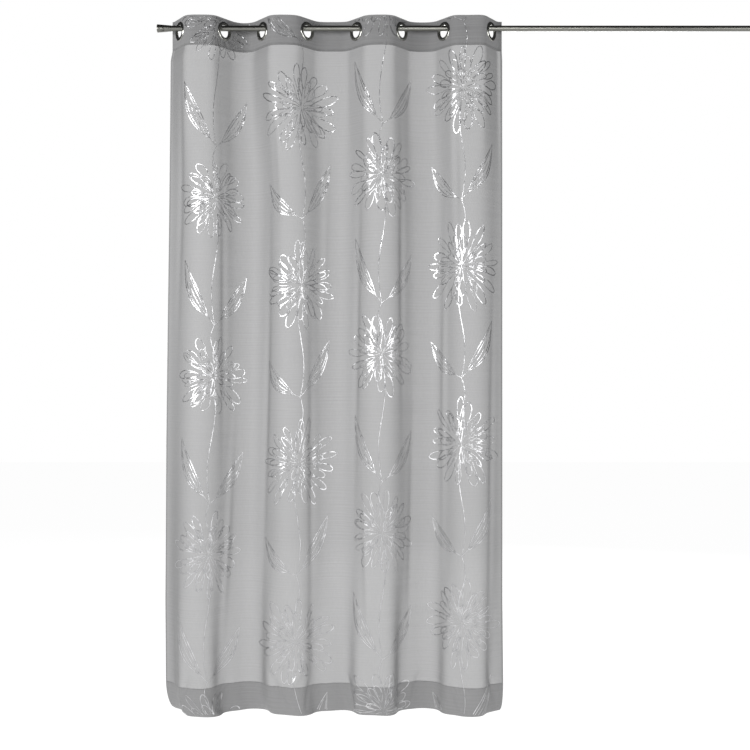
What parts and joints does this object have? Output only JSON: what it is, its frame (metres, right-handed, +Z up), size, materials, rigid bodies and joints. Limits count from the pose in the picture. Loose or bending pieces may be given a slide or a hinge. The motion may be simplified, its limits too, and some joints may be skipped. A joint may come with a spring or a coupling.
{
  "type": "sheer eyelet curtain panel on a rod",
  "caption": "Sheer voile curtain panel with metal eyelets threaded on a slim metal rod with flared ends, hanging in soft uneven folds, printed with silver line flowers.",
  "frame": {"origin": "on the rod's axis, halfway between the first and the last eyelet, where the rod is held", "axes": "+X along the rod to its free end, +Y away from the room, +Z up"},
  "size_m": [2.195, 0.1125, 2.4055],
  "materials": {
    "voile": "sheer grey voile with a silver foil line print",
    "heading": "doubled voile over a stiff tape",
    "eyelet_metal": "satin nickel",
    "rod_metal": "brushed steel"
  },
  "bodies": {
    "root": {"voile_panel": "voile", "heading_band": "heading", "eyelet_front_1": "eyelet_metal", "eyelet_front_2": "eyelet_metal", "eyelet_front_3": "eyelet_metal", "eyelet_front_4": "eyelet_metal", "eyelet_front_5": "eyelet_metal", "eyelet_front_6": "eyelet_metal", "eyelet_front_7": "eyelet_metal", "eyelet_front_8": "eyelet_metal", "eyelet_back_1": "eyelet_metal", "eyelet_back_2": "eyelet_metal", "eyelet_back_3": "eyelet_metal", "eyelet_back_4": "eyelet_metal", "eyelet_back_5": "eyelet_metal", "eyelet_back_6": "eyelet_metal", "eyelet_back_7": "eyelet_metal", "eyelet_back_8": "eyelet_metal", "rod": "rod_metal", "finial_left": "rod_metal", "finial_right": "rod_metal"}
  },
  "joints": []
}
